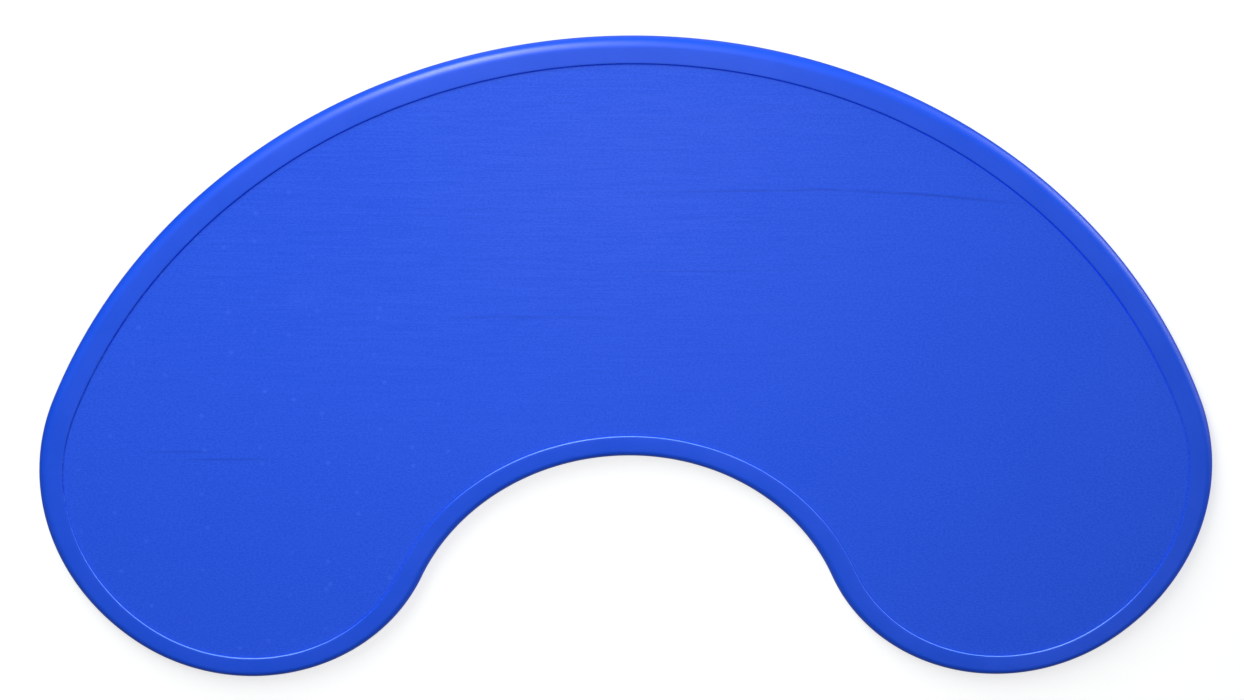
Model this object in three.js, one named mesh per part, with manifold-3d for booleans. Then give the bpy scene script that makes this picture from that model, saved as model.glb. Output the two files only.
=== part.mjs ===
// Kidney-shaped transfer board: a plywood core, a blue skin bonded to each face, and a blue
// rounded edge profile that wraps the whole outline and is keyed into a groove in the core.
//
// The board lies flat. X runs along its length, the arched long edge is towards +Y, the notch
// between the two lobes is towards -Y, and Z is up. The origin is on the floor, under the middle
// of the board's length and depth. All lengths are in millimetres.
import * as THREE from 'three';
import { mergeVertices } from 'three/addons/utils/BufferGeometryUtils.js';
import Module from 'manifold-3d';

const wasm = await Module();
wasm.setup();

// Outline of the board, seen from above
const boardLength = 700;         // overall, along X
const boardDepth = 410;          // overall, along Y, from the arch to the tips of the lobes
const endRadius = 136;           // round the left and right ends
const lobeRadius = 113;          // round the tip of each lobe
const lobeAngle = 54;            // degrees below X at which an end tightens into its lobe
const notchDepth = 148.5;        // from the tips of the lobes to the top of the notch

// Stack through the board's thickness
const coreThickness = 9;         // plywood
const skinThickness = 0.5;       // laminate on each face
const lipThickness = 1;          // how far each lip of the edge stands proud of its skin

// Edge profile, measured inwards from the outline
const rimWidth = 14.4;           // the whole rim that shows from above
const roundOverRadius = 5.8;     // rounding of the outer edge, top and bottom
const noseDepth = 6;             // solid nose, as far as the edge of the core
const lipEase = 0.3;             // small bevel on the inner edge of each lip
const tongueLength = 8;          // how far the tongue reaches into the core
const tongueThickness = 1.6;     // between the barbs
const barbHeight = 0.5;          // how far a barb stands out of the tongue's face
const barbCount = 2;             // barbs on each face of the tongue
const barbPlaceShare = 0.4;      // where in its own pitch each barb starts

// Clearances and facets
const fitGap = 0.3;              // free space between the edge profile and the core it holds
const cutOverrun = 2;            // how far a cutting shape reaches past what it cuts
const facetSag = 0.15;           // how far a straight facet may leave its arc
const roundOverFacets = 5;

const boardThickness = coreThickness + 2 * (skinThickness + lipThickness);
const middleHeight = boardThickness / 2;
const coreInset = noseDepth + fitGap;
const skinHeight = lipThickness;
const coreHeight = skinHeight + skinThickness;
const topSkinHeight = coreHeight + coreThickness;
const grooveThickness = tongueThickness + 2 * (barbHeight + fitGap);
const grooveDepth = tongueLength + fitGap;

// Half of the outline is four arcs that meet in line: notch, lobe, end and arch. The radius of the
// notch and that of the arch follow from the named sizes.
const quarterTurn = Math.PI / 2;
const halfTurn = Math.PI;
const lobeEnd = -THREE.MathUtils.degToRad(lobeAngle);
const archTop = boardDepth / 2;
const notchTop = notchDepth - boardDepth / 2;
const endCentre = new THREE.Vector2(
  boardLength / 2 - endRadius,
  lobeRadius - boardDepth / 2 - (endRadius - lobeRadius) * Math.sin(lobeEnd),
);
const lobeCentre = new THREE.Vector2(
  endCentre.x + (endRadius - lobeRadius) * Math.cos(lobeEnd),
  lobeRadius - boardDepth / 2,
);

// Radius of the circle centred on the middle line that passes through the given height on that
// line and touches the given circle: from inside it for the arch, from outside it for the notch.
function archRadiusThrough(top, centre, radius) {
  const drop = top - centre.y;
  return (centre.x ** 2 + drop ** 2 - radius ** 2) / (2 * (drop - radius));
}

function notchRadiusThrough(top, centre, radius) {
  const drop = top - centre.y;
  return (centre.x ** 2 + drop ** 2 - radius ** 2) / (2 * (drop + radius));
}

const archRadius = archRadiusThrough(archTop, endCentre, endRadius);
const notchRadius = notchRadiusThrough(notchTop, lobeCentre, lobeRadius);
const archCentre = new THREE.Vector2(0, archTop - archRadius);
const notchCentre = new THREE.Vector2(0, notchTop - notchRadius);

function bearing(from, to) {
  return Math.atan2(to.y - from.y, to.x - from.x);
}

// Stations along one arc, from its start up to but without its end.
function arcStations(centre, radius, start, end, hollow) {
  const facetAngle = 2 * Math.acos(1 - facetSag / radius);
  const count = Math.ceil(Math.abs(end - start) / facetAngle);
  const stations = [];
  for (let i = 0; i < count; i += 1) {
    const angle = start + ((end - start) * i) / count;
    stations.push({ centre, radius, hollow, across: Math.cos(angle), up: Math.sin(angle) });
  }
  return stations;
}

function mirrored(station) {
  const centre = new THREE.Vector2(-station.centre.x, station.centre.y);
  return { ...station, centre, across: -station.across };
}

// Stations round the whole board, anticlockwise from the middle of the notch.
function boardStations() {
  const notchEnd = bearing(notchCentre, lobeCentre);
  const archStart = bearing(archCentre, endCentre);
  const half = [
    ...arcStations(notchCentre, notchRadius, quarterTurn, notchEnd, true),
    ...arcStations(lobeCentre, lobeRadius, notchEnd - halfTurn, lobeEnd, false),
    ...arcStations(endCentre, endRadius, lobeEnd, archStart, false),
    ...arcStations(archCentre, archRadius, archStart, quarterTurn, false),
  ];
  const crown = { centre: archCentre, radius: archRadius, hollow: false, across: 0, up: 1 };
  const otherHalf = half.slice(1).reverse().map(mirrored);
  return [...half, crown, ...otherHalf];
}

const stations = boardStations();

// The point of a station that lies a given distance in from the outline.
function inFromOutline(station, inset) {
  const reach = station.hollow ? station.radius + inset : station.radius - inset;
  return new THREE.Vector2(
    station.centre.x + reach * station.across,
    station.centre.y + reach * station.up,
  );
}

function outlinePoints(inset) {
  return stations.map((station) => inFromOutline(station, inset));
}

// A flat plate with the board's outline, drawn in by an inset, with an optional opening.
function plate(inset, bottom, thickness, openingInset = null) {
  const shape = new THREE.Shape(outlinePoints(inset));
  if (openingInset !== null) {
    shape.holes.push(new THREE.Path(outlinePoints(openingInset)));
  }
  const geometry = new THREE.ExtrudeGeometry(shape, { depth: thickness, bevelEnabled: false });
  return geometry.translate(0, 0, bottom);
}

// A closed section, swept once round the board. Each of its points is [inset, height], and the
// points run clockwise when the inset is drawn to the right and the height upwards.
function sweep(section) {
  const vertices = [];
  const triangles = [];
  stations.forEach((station, stationIndex) => {
    const here = stationIndex * section.length;
    const next = ((stationIndex + 1) % stations.length) * section.length;
    section.forEach(([inset, height], corner) => {
      const point = inFromOutline(station, inset);
      const after = (corner + 1) % section.length;
      vertices.push(point.x, point.y, height);
      triangles.push(here + corner, next + after, here + after);
      triangles.push(here + corner, next + corner, next + after);
    });
  });
  const geometry = new THREE.BufferGeometry();
  geometry.setAttribute('position', new THREE.Float32BufferAttribute(vertices, 3));
  geometry.setIndex(triangles);
  return geometry;
}

function toSolid(geometry) {
  const bare = geometry.clone();
  bare.deleteAttribute('normal');
  bare.deleteAttribute('uv');
  const merged = mergeVertices(bare);
  return new wasm.Manifold(new wasm.Mesh({
    numProp: 3,
    vertProperties: merged.attributes.position.array,
    triVerts: new Uint32Array(merged.index.array),
  }));
}

function toGeometry(solid) {
  const mesh = solid.getMesh();
  const geometry = new THREE.BufferGeometry();
  geometry.setAttribute('position', new THREE.BufferAttribute(mesh.vertProperties, mesh.numProp));
  geometry.setIndex(new THREE.BufferAttribute(mesh.triVerts, 1));
  return geometry;
}

// Plywood core, grooved all round its edge for the tongue of the edge profile.
function coreGeometry() {
  const board = toSolid(plate(coreInset, coreHeight, coreThickness));
  const grooveBottom = middleHeight - grooveThickness / 2;
  const groove = toSolid(
    plate(coreInset - cutOverrun, grooveBottom, grooveThickness, coreInset + grooveDepth),
  );
  return toGeometry(board.subtract(groove));
}

// Upper half of the edge profile's section, from the middle of the nose, over the round-over and
// the lip, back under the lip and out along the tongue. Heights are above the board's middle.
function upperSection() {
  const radius = Math.min(roundOverRadius, middleHeight);
  const points = [];
  for (let i = 0; i <= roundOverFacets; i += 1) {
    const turn = (quarterTurn * i) / roundOverFacets;
    points.push([radius - radius * Math.cos(turn), middleHeight - radius + radius * Math.sin(turn)]);
  }
  points.push([rimWidth - lipEase, middleHeight]);
  points.push([rimWidth, middleHeight - lipEase]);
  points.push([rimWidth, middleHeight - lipThickness]);
  points.push([noseDepth, middleHeight - lipThickness]);
  points.push([noseDepth, tongueThickness / 2]);
  const pitch = tongueLength / barbCount;
  for (let i = 0; i < barbCount; i += 1) {
    const start = noseDepth + pitch * (i + barbPlaceShare);
    points.push([start, tongueThickness / 2]);
    points.push([start, tongueThickness / 2 + barbHeight]);
  }
  points.push([noseDepth + tongueLength, tongueThickness / 2]);
  return points;
}

// Rounded edge profile: nose, two lips that lap the skins, and a barbed tongue, in one ring. The
// halves of a fully round nose share their point at the board's middle.
function edgeGeometry() {
  const upper = upperSection();
  const lower = upper.filter(([, height]) => height > 0).reverse();
  const above = upper.map(([inset, height]) => [inset, middleHeight + height]);
  const below = lower.map(([inset, height]) => [inset, middleHeight - height]);
  return sweep([...above, ...below]);
}

const plywood = new THREE.MeshStandardMaterial({ color: 0xd6b585, roughness: 0.8, metalness: 0 });
const blueSkin = new THREE.MeshStandardMaterial({ color: 0x2f5ce4, roughness: 0.5, metalness: 0 });
const blueEdge = new THREE.MeshStandardMaterial({ color: 0x3565f0, roughness: 0.35, metalness: 0 });

const board = new THREE.Group();

function addPiece(name, geometry, material) {
  const piece = new THREE.Mesh(geometry, material);
  piece.name = name;
  board.add(piece);
}

addPiece('core_board', coreGeometry(), plywood);
addPiece('top_skin', plate(coreInset, topSkinHeight, skinThickness), blueSkin);
addPiece('bottom_skin', plate(coreInset, skinHeight, skinThickness), blueSkin);
addPiece('edge_profile', edgeGeometry(), blueEdge);

export default board;
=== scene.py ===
"""Looks of the kidney-shaped transfer board, lying on a pale floor in soft light.

The core and the two skins are the solids from model.glb with new materials. The edge profile is
built again here as a smooth ring of the same section, because the ring in model.glb is faceted.
Lengths are in metres, and angles in radians where no comment says degrees. X runs along the
board, +Y is towards the long arched edge, and Z is up.
"""

import math

import bpy
from mathutils import Matrix, Vector


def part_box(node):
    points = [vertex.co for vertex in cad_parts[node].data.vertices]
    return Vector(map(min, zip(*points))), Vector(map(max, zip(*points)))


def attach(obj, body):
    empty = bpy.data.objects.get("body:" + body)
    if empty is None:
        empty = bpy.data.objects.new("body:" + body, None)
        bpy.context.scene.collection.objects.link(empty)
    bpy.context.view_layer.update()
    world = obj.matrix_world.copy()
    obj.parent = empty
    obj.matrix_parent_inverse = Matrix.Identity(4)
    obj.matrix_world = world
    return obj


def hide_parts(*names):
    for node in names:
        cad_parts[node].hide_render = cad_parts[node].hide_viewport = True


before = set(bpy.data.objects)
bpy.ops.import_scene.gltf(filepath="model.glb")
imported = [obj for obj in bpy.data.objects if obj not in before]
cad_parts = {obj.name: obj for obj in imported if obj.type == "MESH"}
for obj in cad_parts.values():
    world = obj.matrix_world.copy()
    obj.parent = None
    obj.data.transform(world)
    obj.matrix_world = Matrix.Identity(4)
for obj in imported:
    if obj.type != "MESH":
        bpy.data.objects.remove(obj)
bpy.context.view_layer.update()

MM = 0.001

# Edge profile, as in the solid
END_RADIUS = 136 * MM
LOBE_RADIUS = 113 * MM
LOBE_ANGLE = math.radians(54)
NOTCH_DEPTH = 148.5 * MM
RIM_WIDTH = 14.4 * MM
NOSE_DEPTH = 6 * MM
TONGUE_LENGTH = 8 * MM
TONGUE_THICKNESS = 1.6 * MM
BARB_HEIGHT = 0.5 * MM
BARB_COUNT = 2
BARB_PLACE_SHARE = 0.4

# What only the smooth ring has
LIP_EASE = 0.4 * MM              # radius of each lip's rounded inner edge
TRIM_SHARE = 0.14                # share of that radius, next to the wall, that is bare cut plastic with a painted highlight
LIP_SLOPE = math.radians(3.5)    # fall of a lip's crowned face where it runs into the nose
SEAM_WIDTH = 0.9 * MM            # thin bead of glue on the skin along each lip; its colour carries painted shade beside the arch
SEAM_HEIGHT = 0.03 * MM
SEAM_TAPER = 1 / 3               # share of the seam's height that is left at its far side
LIP_WANDER = 0.06 * MM           # how far the trimmed edge of a lip wanders to either side
WANDER_WAVES = ((23, 0.5, 0.7), (57, 0.3, 2.1), (121, 0.2, 0.0))  # waves round the board, share, phase

# Steps of the smooth ring
STATION_TURN = math.radians(0.8)
NOSE_STEPS = 20                  # in each half of the nose
LIP_STEPS = 6
EASE_STEPS = 6
SHARP_ANGLE = math.radians(35)

# The photograph's view: taken from beyond the arched edge, turned so that the arch is on top
CAMERA_PLACE = Vector((-0.0634, 0.8198, 1.8556))
CAMERA_AIM = Vector((-0.0050, 0.0141, 0.0120))
CAMERA_ROLL = math.radians(0.708)
CAMERA_LENS = 99.54

edge_low, edge_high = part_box("edge_profile")
skin_low, skin_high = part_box("top_skin")
BOARD_LENGTH = edge_high.x - edge_low.x
BOARD_DEPTH = edge_high.y - edge_low.y
BOARD_THICKNESS = edge_high.z - edge_low.z
MIDDLE_X = (edge_high.x + edge_low.x) / 2
MIDDLE_Y = (edge_high.y + edge_low.y) / 2
MIDDLE_Z = (edge_high.z + edge_low.z) / 2
LIP_THICKNESS = edge_high.z - skin_high.z


def bearing(start, end):
    return math.atan2(end.y - start.y, end.x - start.x)


def touching_radius(top, centre, radius, side):
    """Radius of the circle on the middle line that passes through top on that line and touches
    the given circle, from inside it (side -1) or from outside it (side 1)."""
    drop = top - centre.y
    return (centre.x ** 2 + drop ** 2 - radius ** 2) / (2 * (drop + side * radius))


def arc_stations(centre, radius, start, end, hollow):
    """Stations along one arc, from its start up to but without its end."""
    count = max(1, round(abs(end - start) / STATION_TURN))
    angles = [start + (end - start) * i / count for i in range(count)]
    return [(centre, radius, math.cos(a), math.sin(a), hollow) for a in angles]


def board_stations():
    """Stations round the whole board, anticlockwise from the middle of the notch."""
    arch_top = BOARD_DEPTH / 2
    notch_top = NOTCH_DEPTH - BOARD_DEPTH / 2
    ease = END_RADIUS - LOBE_RADIUS
    lobe_y = LOBE_RADIUS - BOARD_DEPTH / 2
    end_centre = Vector((BOARD_LENGTH / 2 - END_RADIUS, lobe_y + ease * math.sin(LOBE_ANGLE)))
    lobe_centre = Vector((end_centre.x + ease * math.cos(LOBE_ANGLE), lobe_y))
    arch_radius = touching_radius(arch_top, end_centre, END_RADIUS, -1)
    notch_radius = touching_radius(notch_top, lobe_centre, LOBE_RADIUS, 1)
    arch_centre = Vector((0, arch_top - arch_radius))
    notch_centre = Vector((0, notch_top - notch_radius))
    notch_end = bearing(notch_centre, lobe_centre)
    arch_start = bearing(arch_centre, end_centre)
    quarter = math.pi / 2
    half = [
        *arc_stations(notch_centre, notch_radius, quarter, notch_end, True),
        *arc_stations(lobe_centre, LOBE_RADIUS, notch_end - math.pi, -LOBE_ANGLE, False),
        *arc_stations(end_centre, END_RADIUS, -LOBE_ANGLE, arch_start, False),
        *arc_stations(arch_centre, arch_radius, arch_start, quarter, False),
    ]
    crown = (arch_centre, arch_radius, 0.0, 1.0, False)
    other_half = [
        (Vector((-centre.x, centre.y)), radius, -across, up, hollow)
        for centre, radius, across, up, hollow in reversed(half[1:])
    ]
    return [*half, crown, *other_half]


def in_from_outline(station, inset):
    centre, radius, across, up, hollow = station
    reach = radius + inset if hollow else radius - inset
    return MIDDLE_X + centre.x + reach * across, MIDDLE_Y + centre.y + reach * up


def upper_section():
    """Upper half of the ring's section as (inset, height above the middle, share of wander): half
    of a round nose, the lip's slightly crowned face, its eased inner edge, the seam on the skin,
    and the tongue."""
    top = BOARD_THICKNESS / 2
    ease_start = RIM_WIDTH - LIP_EASE
    fall = math.tan(LIP_SLOPE / 2)
    nose_radius = (top - ease_start * fall) / (1 - fall)
    crown_radius = (ease_start - nose_radius) / math.sin(LIP_SLOPE) + nose_radius
    points = []
    for i in range(NOSE_STEPS + 1):
        turn = (math.pi / 2 - LIP_SLOPE) * i / NOSE_STEPS
        points.append((nose_radius * (1 - math.cos(turn)), nose_radius * math.sin(turn), 0))
    for i in range(1, LIP_STEPS + 1):
        slope = LIP_SLOPE * (1 - i / LIP_STEPS)
        inset = ease_start - crown_radius * math.sin(slope)
        points.append((inset, top - crown_radius * (1 - math.cos(slope)), (i / LIP_STEPS) ** 2))
    for i in range(1, EASE_STEPS + 1):
        turn = math.pi / 2 * i / EASE_STEPS
        inset = ease_start + LIP_EASE * math.sin(turn)
        points.append((inset, top - LIP_EASE * (1 - math.cos(turn)), 1))
    skin_top = top - LIP_THICKNESS
    points.append((RIM_WIDTH, skin_top + SEAM_HEIGHT, 1))
    points.append((RIM_WIDTH + SEAM_WIDTH, skin_top + SEAM_HEIGHT * SEAM_TAPER, 1))
    points.append((RIM_WIDTH + SEAM_WIDTH, skin_top, 1))
    points.append((NOSE_DEPTH, skin_top, 0))
    points.append((NOSE_DEPTH, TONGUE_THICKNESS / 2, 0))
    pitch = TONGUE_LENGTH / BARB_COUNT
    for i in range(BARB_COUNT):
        start = NOSE_DEPTH + pitch * (i + BARB_PLACE_SHARE)
        points.append((start, TONGUE_THICKNESS / 2, 0))
        points.append((start, TONGUE_THICKNESS / 2 + BARB_HEIGHT, 0))
    points.append((NOSE_DEPTH + TONGUE_LENGTH, TONGUE_THICKNESS / 2, 0))
    return points


def wander(share):
    """How the trimmed edge of a lip wanders round the board, from -1 to 1. It closes on itself."""
    turn = 2 * math.pi * share
    return sum(strength * math.sin(waves * turn + phase) for waves, strength, phase in WANDER_WAVES)


def face_kind(first_inset, second_inset):
    """Which of the ring's three materials a face has: the plastic, its trimmed edge with a painted
    highlight, or the seam with its painted shade.
    """
    if max(first_inset, second_inset) > RIM_WIDTH:
        return 2
    if min(first_inset, second_inset) > RIM_WIDTH - TRIM_SHARE * LIP_EASE:
        return 1
    return 0


def edge_ring(*materials):
    """The smooth edge profile: nose, lips, seams and tongue, swept once round the board."""
    upper = upper_section()
    section = [*upper, *[(inset, -height, share) for inset, height, share in reversed(upper[1:])]]
    stations = board_stations()
    vertices = []
    faces = []
    kinds = []
    for i, station in enumerate(stations):
        drift = LIP_WANDER * wander(i / len(stations))
        here = i * len(section)
        after = (i + 1) % len(stations) * len(section)
        for j, (inset, height, share) in enumerate(section):
            k = (j + 1) % len(section)
            vertices.append((*in_from_outline(station, inset + drift * share), MIDDLE_Z + height))
            faces.append((here + j, after + j, after + k, here + k))
            kinds.append(face_kind(inset, section[k][0]))
    mesh = bpy.data.meshes.new("edge_ring")
    mesh.from_pydata(vertices, [], faces)
    mesh.validate()
    for material in materials:
        mesh.materials.append(material)
    mesh.polygons.foreach_set("material_index", kinds)
    mesh.shade_smooth()
    mesh.set_sharp_from_angle(angle=SHARP_ANGLE)
    ring = bpy.data.objects.new("edge_ring", mesh)
    bpy.context.scene.collection.objects.link(ring)
    return ring


class Shader:
    """A material's node tree, with short ways to add nodes and link them."""

    def __init__(self, name):
        self.material = bpy.data.materials.new(name)
        self.material.use_nodes = True
        self.tree = self.material.node_tree
        self.surface = self.tree.nodes["Principled BSDF"]
        self.spot = self.add("ShaderNodeTexCoord").outputs["Object"]

    def add(self, kind, inputs=None, **settings):
        made = self.tree.nodes.new(kind)
        for name, value in settings.items():
            setattr(made, name, value)
        for name, value in (inputs or {}).items():
            self.put(made, name, value)
        return made

    def put(self, target, name, value):
        socket = target.inputs[name]
        if isinstance(value, bpy.types.NodeSocket):
            self.tree.links.new(value, socket)
        else:
            socket.default_value = value

    def noise(self, scale, detail=3.0, rough=0.5, stretch=(1, 1, 1), offset=(0, 0, 0)):
        place = self.add("ShaderNodeMapping", {
            "Vector": self.spot, "Scale": stretch, "Location": offset,
        })
        made = self.add("ShaderNodeTexNoise", {
            "Vector": place.outputs["Vector"], "Scale": scale, "Detail": detail, "Roughness": rough,
        })
        return made.outputs["Fac"]

    def along(self, axis):
        """Distance from the board's middle along X or Y."""
        return self.add("ShaderNodeSeparateXYZ", {"Vector": self.spot}).outputs[axis]

    def patch(self, centre, half_size, angle=0.0):
        """Share of a soft-edged oval patch: 1 at its centre, falling evenly to 0 at its rim."""
        place = self.add("ShaderNodeMapping", {
            "Vector": self.spot,
            "Location": (*centre, 0),
            "Rotation": (0, 0, angle),
            "Scale": (*half_size, 1),
        }, vector_type="TEXTURE")
        made = self.add("ShaderNodeTexGradient", {"Vector": place.outputs["Vector"]})
        made.gradient_type = "SPHERICAL"
        return made.outputs["Fac"]

    def patches(self, marks, strength=1.0):
        """The sum of several patches, each times its own weight."""
        return self.weighed(*[(self.patch(*place), weight * strength) for *place, weight in marks])

    def math(self, operation, first, second=0.0):
        made = self.add("ShaderNodeMath", operation=operation)
        self.put(made, 0, first)
        self.put(made, 1, second)
        return made.outputs[0]

    def weighed(self, *pairs):
        """The sum of values, each times its own weight."""
        total = self.math("MULTIPLY", *pairs[0])
        for value, weight in pairs[1:]:
            total = self.math("ADD", total, self.math("MULTIPLY", value, weight))
        return total

    def spread(self, value, low, high, start=0.0, end=1.0):
        """Maps low..high to start..end and holds the ends."""
        made = self.add("ShaderNodeMapRange", {
            "Value": value, "From Min": low, "From Max": high, "To Min": start, "To Max": end,
        })
        return made.outputs["Result"]

    def mix(self, share, first, second):
        """A colour between two colours, of which each is a list of three numbers or a socket."""
        made = self.add("ShaderNodeMix", data_type="RGBA")
        self.put(made, "Factor", share)
        for socket, colour in ((made.inputs[6], first), (made.inputs[7], second)):
            if isinstance(colour, bpy.types.NodeSocket):
                self.tree.links.new(colour, socket)
            else:
                socket.default_value = (*colour, 1.0)
        return made.outputs[2]

    def cover(self, colour, roughness):
        """Gives the surface its colour and its roughness."""
        self.put(self.surface, "Base Color", colour)
        self.put(self.surface, "Roughness", roughness)

    def bump(self, height, strength, distance):
        """Gives the surface a fine relief."""
        made = self.add("ShaderNodeBump", {
            "Height": height, "Strength": strength, "Distance": distance,
        })
        self.put(self.surface, "Normal", made.outputs["Normal"])


FIELD_DEEP = (0.0015, 0.0700, 0.715)
FIELD_PALE = (0.0160, 0.0935, 0.790)
FIELD_LINE = (0.0020, 0.0450, 0.520)
FIELD_NIB = (0.0450, 0.1500, 0.900)
RIM_DEEP = (0.0040, 0.0720, 0.705)
RIM_PALE = (0.0110, 0.0820, 0.750)
# The seam's first colour is painted shade at the foot of the lips beside the arch; the second is its
# plain colour elsewhere
SEAM_PAINTED_SHADE = (0.0005, 0.0430, 0.900)
SEAM_PALE = (0.0200, 0.0900, 0.740)
# The cut edge's plain dull colour, and two pale colours that are partly paler cut plastic and partly a
# painted highlight of the lamps on the rounded edge
TRIM_DULL = (0.0100, 0.0900, 0.760)
TRIM_HIGHLIGHT_DEEP = (0.1500, 0.3400, 0.900)
TRIM_HIGHLIGHT_PALE = (0.2600, 0.4600, 0.970)
WOOD_DEEP = (0.42, 0.27, 0.13)
WOOD_PALE = (0.68, 0.50, 0.30)

# Marks in the laminate: centre, half length and half width, angle, weight
DARK_LINES = (
    ((0.073, 0.1135), (0.085, 0.0011), 0.014, 0.6),
    ((0.142, 0.1125), (0.060, 0.0012), -0.059, 0.6),
    ((0.190, 0.1090), (0.045, 0.0012), -0.100, 0.6),
    ((0.040, 0.0635), (0.065, 0.0010), 0.011, 0.35),
    ((-0.062, 0.0345), (0.060, 0.0010), 0.0, 0.45),
    ((-0.264, -0.0520), (0.025, 0.0010), 0.0, 0.6),
    ((-0.240, -0.0570), (0.042, 0.0010), 0.008, 0.6),
)
LIGHT_LINES = (
    ((-0.125, 0.1130), (0.110, 0.0011), -0.028, 0.5),
    ((-0.036, 0.0620), (0.080, 0.0010), 0.005, 0.4),
    ((-0.150, 0.0445), (0.045, 0.0010), -0.007, 0.35),
)
HAZE_PATCHES = (
    ((-0.190, 0.048), (0.016, 0.010), 0.4, 1.0),
    ((0.300, -0.020), (0.055, 0.060), 0.9, 0.35),
    ((0.240, -0.160), (0.045, 0.014), 0.1, 0.45),
    ((0.035, -0.038), (0.020, 0.008), 0.1, 0.6),
    ((-0.280, -0.080), (0.030, 0.030), 0.0, 0.3),
)
PALE_STRENGTH = 0.25             # of the light lines and the haze

# Where the laminate's grain and its nibs are strongest: centre and half size
GRAIN_AREA = ((-0.10, 0.11), (0.34, 0.20))
NIB_AREA = ((-0.27, -0.06), (0.21, 0.22))
NIB_CELLS = 56.0                 # in a metre

# Parts of the outline where the lip's cut edge has no painted highlight: centre, half size, angle,
# weight
TRIMS_WITHOUT_HIGHLIGHT = (
    ((-0.120, -0.140), (0.085, 0.100), 0.3, 1.0),
    ((0.335, -0.080), (0.060, 0.130), 0.0, 1.0),
    ((-0.345, -0.020), (0.040, 0.130), 0.0, 1.0),
    ((0.112, -0.125), (0.025, 0.030), 0.0, 0.6),
)

# Left end of the board: X where the cut edge's dots of painted highlight and the gaps in the seam's
# painted shade start and are full
LEFT_END_FULL = -0.30
HIGHLIGHT_DOTS_START = -0.26
SHADE_GAPS_START = -0.24

# Y where the seam's painted shade, standing for the lip's shadow on the arch side, starts and where it
# is full
SEAM_SHADE_START = -0.035
SEAM_SHADE_FULL = 0.040


def laminate_nibs(shader):
    """Small pale nibs, common round the left lobe and faint elsewhere."""
    cells = shader.add("ShaderNodeTexVoronoi", {"Vector": shader.spot, "Scale": NIB_CELLS})
    cells.voronoi_dimensions = "2D"
    dots = shader.spread(cells.outputs["Distance"], 0.02, 0.105, 1.0, 0.0)
    channels = shader.add("ShaderNodeSeparateColor", {"Color": cells.outputs["Color"]})
    chosen = shader.spread(channels.outputs["Red"], 0.40, 1.0, 0.0, 0.50)
    nearness = shader.spread(shader.patch(*NIB_AREA), 0.0, 0.25, 0.05, 1.0)
    return shader.math("MULTIPLY", shader.math("MULTIPLY", dots, chosen), nearness)


def laminate_haze(shader):
    """Light lines and blotchy pale haze."""
    light = shader.patches(LIGHT_LINES, PALE_STRENGTH)
    haze = shader.patches(HAZE_PATCHES, PALE_STRENGTH)
    blotches = shader.spread(shader.noise(220.0, detail=3.0, rough=0.7), 0.35, 0.7)
    return shader.math("ADD", light, shader.math("MULTIPLY", haze, blotches))


def face_material():
    """Blue laminate: fine straight grain along X, faint longer lines, light nibs and haze."""
    shader = Shader("blue_laminate")
    pores = shader.noise(1.0, detail=2.0, rough=0.65, stretch=(45, 1500, 45))
    grain = shader.noise(1.0, detail=3.0, rough=0.7, stretch=(11, 620, 11), offset=(3, 5, 1))
    speckle = shader.noise(1100.0, detail=2.0, rough=0.7, stretch=(0.6, 1, 1))
    cloud = shader.noise(15.0, detail=4.0, rough=0.6, offset=(2, 1, 4))
    fibres = shader.math("SUBTRACT", shader.weighed((pores, 0.7), (grain, 0.3)), 0.5)
    grain_share = shader.spread(shader.patch(*GRAIN_AREA), 0.0, 0.6, 0.12, 1.05)
    lines = shader.math("MULTIPLY", fibres, grain_share)
    tone = shader.weighed((lines, 2.3), (speckle, 3.2), (cloud, 0.3))
    share = shader.spread(tone, 1.30, 2.20)
    colour = shader.mix(share, FIELD_DEEP, FIELD_PALE)
    dark = shader.patches(DARK_LINES)
    broken = shader.spread(shader.noise(60.0, detail=2.0, rough=0.6, offset=(7, 2, 3)), 0.25, 0.5)
    colour = shader.mix(shader.math("MULTIPLY", dark, broken), colour, FIELD_LINE)
    nibs = laminate_nibs(shader)
    colour = shader.mix(shader.math("ADD", laminate_haze(shader), nibs), colour, FIELD_NIB)
    shader.cover(colour, shader.spread(share, 0.0, 1.0, 0.54, 0.41))
    relief = shader.weighed((lines, 0.9), (speckle, 0.5), (nibs, 0.6), (dark, -0.5))
    shader.bump(relief, strength=0.35, distance=0.2 * MM)
    return shader.material


def edge_material():
    """Blue moulded edge: smooth, with a soft sheen and the faintest mottling."""
    shader = Shader("blue_edge")
    cloud = shader.noise(22.0, detail=4.0, rough=0.6)
    fine = shader.noise(1000.0, detail=2.0)
    share = shader.spread(shader.weighed((cloud, 0.7), (fine, 0.3)), 0.38, 0.62)
    colour = shader.mix(share, RIM_DEEP, RIM_PALE)
    shader.cover(colour, shader.spread(cloud, 0.3, 0.7, 0.41, 0.37))
    shader.bump(fine, strength=0.06, distance=0.1 * MM)
    return shader.material


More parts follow.
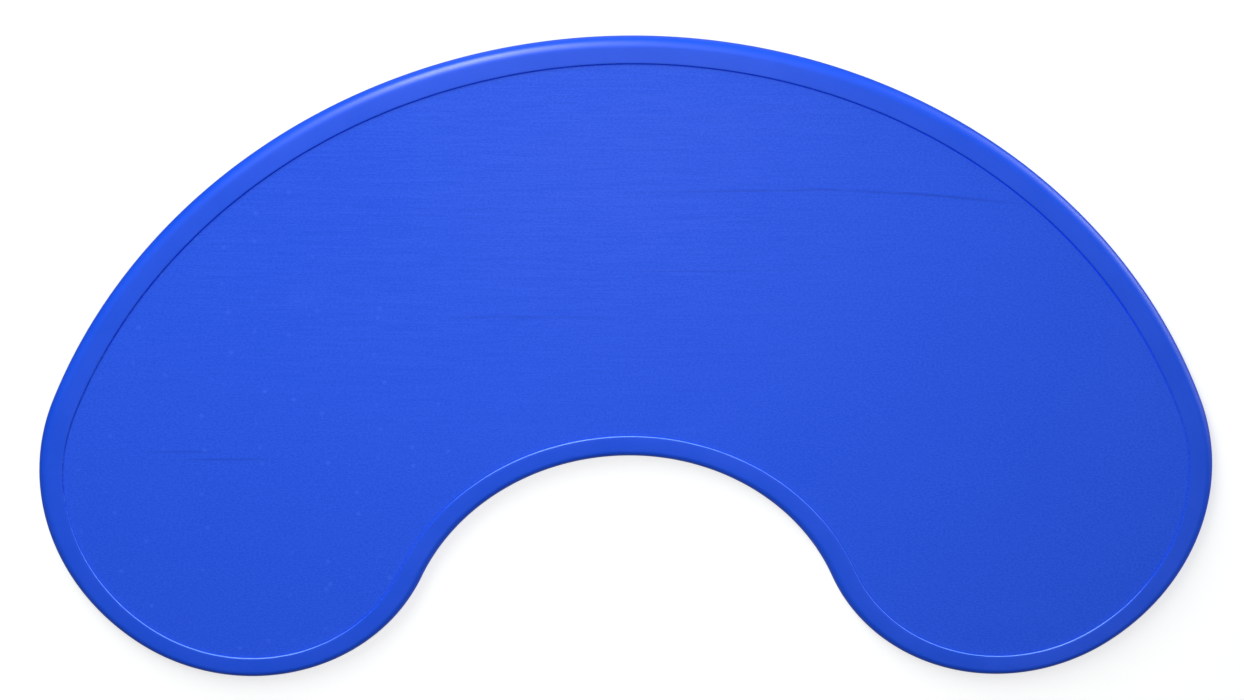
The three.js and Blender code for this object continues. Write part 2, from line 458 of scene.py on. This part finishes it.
def trim_highlight_material():
    """The lips' cut edges: paler cut plastic with a painted highlight, dull in places where that
    highlight is left out, and in dots of it at the left end.
    """
    shader = Shader("trimmed_edge_highlight")
    marks = shader.noise(650.0, detail=3.0, rough=0.65)
    # Pale cut plastic and painted highlight together
    pale = shader.mix(shader.spread(marks, 0.35, 0.65), TRIM_HIGHLIGHT_DEEP, TRIM_HIGHLIGHT_PALE)
    on_left = shader.spread(shader.along("X"), LEFT_END_FULL, HIGHLIGHT_DOTS_START, 1.0, 0.0)
    dots = shader.spread(shader.noise(190.0, detail=1.0), 0.54, 0.60)
    # Takes the painted highlight away in the listed patches, except for dots of it at the left end
    dull = shader.math("SUBTRACT", shader.patches(TRIMS_WITHOUT_HIGHLIGHT), shader.math("MULTIPLY", on_left, dots))
    colour = shader.mix(shader.spread(dull, 0.0, 0.5), pale, TRIM_DULL)
    shader.cover(colour, shader.spread(marks, 0.3, 0.7, 0.32, 0.22))
    shader.bump(marks, strength=0.05, distance=0.1 * MM)
    return shader.material


def seam_shade_material():
    """Glue bead along the lips, darkened with painted shade beside the arch, where the lip's step
    shades the skin; hardly seen round the lobes and the notch.
    """
    shader = Shader("seam_bead_painted_shade")
    marks = shader.noise(150.0, detail=2.0)
    on_left = shader.spread(shader.along("X"), LEFT_END_FULL, SHADE_GAPS_START, 1.0, 0.0)
    shade_gaps = shader.math("MULTIPLY", on_left, shader.spread(marks, 0.52, 0.60))
    # Painted shade on the arch side of the board, with its specular turned down, broken into gaps at
    # the left end
    shaded_side = shader.spread(shader.along("Y"), SEAM_SHADE_START, SEAM_SHADE_FULL)
    dark = shader.math("MULTIPLY", shaded_side, shader.math("SUBTRACT", 1.0, shade_gaps))
    colour = shader.mix(dark, SEAM_PALE, SEAM_PAINTED_SHADE)
    shader.cover(colour, shader.spread(marks, 0.3, 0.7, 0.65, 0.55))
    shader.put(shader.surface, "Specular IOR Level", 0.1)
    return shader.material


def core_material():
    """Raw birch plywood, with its grain along X."""
    shader = Shader("birch_plywood")
    grain = shader.noise(1.0, detail=4.0, rough=0.6, stretch=(6, 160, 900))
    colour = shader.mix(shader.spread(grain, 0.35, 0.65), WOOD_DEEP, WOOD_PALE)
    shader.cover(colour, shader.spread(grain, 0.3, 0.7, 0.8, 0.65))
    shader.bump(grain, strength=0.3, distance=0.3 * MM)
    return shader.material


FLOOR_HALF_SIZE = 4.0
FLOOR_DROP = 0.3 * MM            # keeps the floor's face clear of the board's underside
FLOOR_COLOUR = (0.40, 0.40, 0.40, 1.0)
FLOOR_ROUGHNESS = 0.9
FLOOR_GLOW = 0.70
WHITE = (1.0, 1.0, 1.0, 1.0)


def floor_material():
    shader = Shader("pale_floor")
    shader.cover(FLOOR_COLOUR, FLOOR_ROUGHNESS)
    shader.put(shader.surface, "Emission Color", WHITE)
    shader.put(shader.surface, "Emission Strength", FLOOR_GLOW)
    return shader.material


def set_material(piece, material):
    piece.data.materials.clear()
    piece.data.materials.append(material)


def make_floor():
    """A pale floor that takes the board's shadow but throws no light or shade on it."""
    mesh = bpy.data.meshes.new("floor")
    half = FLOOR_HALF_SIZE
    corners = [(-half, -half), (half, -half), (half, half), (-half, half)]
    mesh.from_pydata([(x, y, -FLOOR_DROP) for x, y in corners], [], [(0, 1, 2, 3)])
    floor = bpy.data.objects.new("floor", mesh)
    bpy.context.scene.collection.objects.link(floor)
    set_material(floor, floor_material())
    floor.visible_diffuse = False
    floor.visible_glossy = False
    floor.visible_shadow = False


def area_light(name, place, size, power, along=(1, 0, 0), aim=(0, 0, 0), tint=(1, 1, 1)):
    """A rectangular light of the given width and length, its length lying along a direction and its
    face turned to the aim as far as that allows."""
    data = bpy.data.lights.new(name, "AREA")
    data.shape = "RECTANGLE"
    data.size, data.size_y = size
    data.energy = power
    data.color = tint
    length_axis = Vector(along).normalized()
    back = Vector(place) - Vector(aim)
    back = (back - back.dot(length_axis) * length_axis).normalized()
    rows = Matrix((length_axis.cross(back), length_axis, back)).transposed().to_4x4()
    light = bpy.data.objects.new(name, data)
    light.visible_camera = False
    light.matrix_world = Matrix.Translation(place) @ rows
    bpy.context.scene.collection.objects.link(light)
    return light


def make_lights():
    """A long key light beyond the arch on the left, and weak lights that fill and shape."""
    area_light(
        "key",
        place=(-0.75, 1.76, 1.62),
        size=(0.46, 2.60),
        power=97,
        along=(-0.42, 0.72, 2.29),
        tint=(0.94, 1.0, 1.0),
    )
    area_light("fill", place=(-0.15, 0.90, 1.60), size=(1.2, 1.2), power=3.6)
    area_light("overhead", place=(-0.38, -0.04, 1.50), size=(0.5, 0.5), power=0.6, aim=(-0.1, 0, 0))
    sheen = area_light("sheen", place=(-0.66, 1.25, 2.09), size=(0.50, 0.55), power=12)
    sheen.visible_diffuse = False
    glow = area_light("glow", place=(0.00, 0.05, 0.42), size=(0.2, 0.2), power=0.27)
    glow.visible_glossy = False


# The room: even parts below and above the horizon, and soft patches, each as its heading, the
# angles in degrees where it is full and where it ends, and its brightness
ROOM_TINT = (0.96, 0.99, 1.0, 1.0)
ROOM_BELOW = 0.04
ROOM_ABOVE = 0.150
CEILING_FULL = 60
CEILING_END = 95
ROOM_PATCHES = (
    ((-160, 82), 6, 18, 0.36),
    ((146, 58), 6, 24, 0.31),
    ((64, -9), 6, 23, 4.4),
    ((50, 20), 4, 15, 1.8),
    ((84, 0), 10, 28, 1.6),
    ((-4, -50), 10, 30, 0.70),
    ((180, -42), 15, 65, 0.33),
    ((180, 12), 25, 42, -0.12),
)


def heading(azimuth, height):
    """Direction at an azimuth, from +Y towards +X, and a height above the horizon, in degrees."""
    turn = math.radians(azimuth)
    rise = math.radians(height)
    return math.cos(rise) * math.sin(turn), math.cos(rise) * math.cos(turn), math.sin(rise)


def make_world():
    """A soft room with a lighter ceiling and a light wall low on the right."""
    world = bpy.data.worlds.new("studio")
    world.use_nodes = True
    tree = world.node_tree
    direction = tree.nodes.new("ShaderNodeTexCoord").outputs["Generated"]

    def share_near(target, full, none):
        near = tree.nodes.new("ShaderNodeVectorMath")
        near.operation = "DOT_PRODUCT"
        near.inputs[1].default_value = target
        tree.links.new(direction, near.inputs[0])
        share = tree.nodes.new("ShaderNodeMapRange")
        share.interpolation_type = "SMOOTHSTEP"
        share.inputs["From Min"].default_value = math.cos(math.radians(none))
        share.inputs["From Max"].default_value = math.cos(math.radians(full))
        tree.links.new(near.outputs["Value"], share.inputs["Value"])
        return share

    total = share_near((0, 0, 1), CEILING_FULL, CEILING_END)
    total.inputs["To Min"].default_value = ROOM_BELOW
    total.inputs["To Max"].default_value = ROOM_ABOVE
    for target, full, none, brightness in ROOM_PATCHES:
        patch = share_near(heading(*target), full, none)
        patch.inputs["To Max"].default_value = brightness
        added = tree.nodes.new("ShaderNodeMath")
        tree.links.new(total.outputs[0], added.inputs[0])
        tree.links.new(patch.outputs[0], added.inputs[1])
        total = added
    background = tree.nodes["Background"]
    background.inputs["Color"].default_value = ROOM_TINT
    tree.links.new(total.outputs[0], background.inputs["Strength"])
    bpy.context.scene.world = world


def make_camera():
    forward = (CAMERA_AIM - CAMERA_PLACE).normalized()
    right = forward.cross(Vector((0, 1, 0))).normalized()
    up = right.cross(forward)
    turned_right = right * math.cos(CAMERA_ROLL) + up * math.sin(CAMERA_ROLL)
    turned_up = up * math.cos(CAMERA_ROLL) - right * math.sin(CAMERA_ROLL)
    rows = Matrix((turned_right, turned_up, -forward)).transposed().to_4x4()
    data = bpy.data.cameras.new("camera")
    data.lens = CAMERA_LENS
    camera = bpy.data.objects.new("camera", data)
    camera.matrix_world = Matrix.Translation(CAMERA_PLACE) @ rows
    bpy.context.scene.collection.objects.link(camera)
    bpy.context.scene.camera = camera


make_camera()
make_lights()
make_world()
make_floor()

ring = edge_ring(edge_material(), trim_highlight_material(), seam_shade_material())
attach(ring, "root")
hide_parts("edge_profile")

laminate = face_material()
set_material(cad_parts["top_skin"], laminate)
set_material(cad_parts["bottom_skin"], laminate)
set_material(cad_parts["core_board"], core_material())

bpy.context.scene.view_settings.view_transform = "Standard"
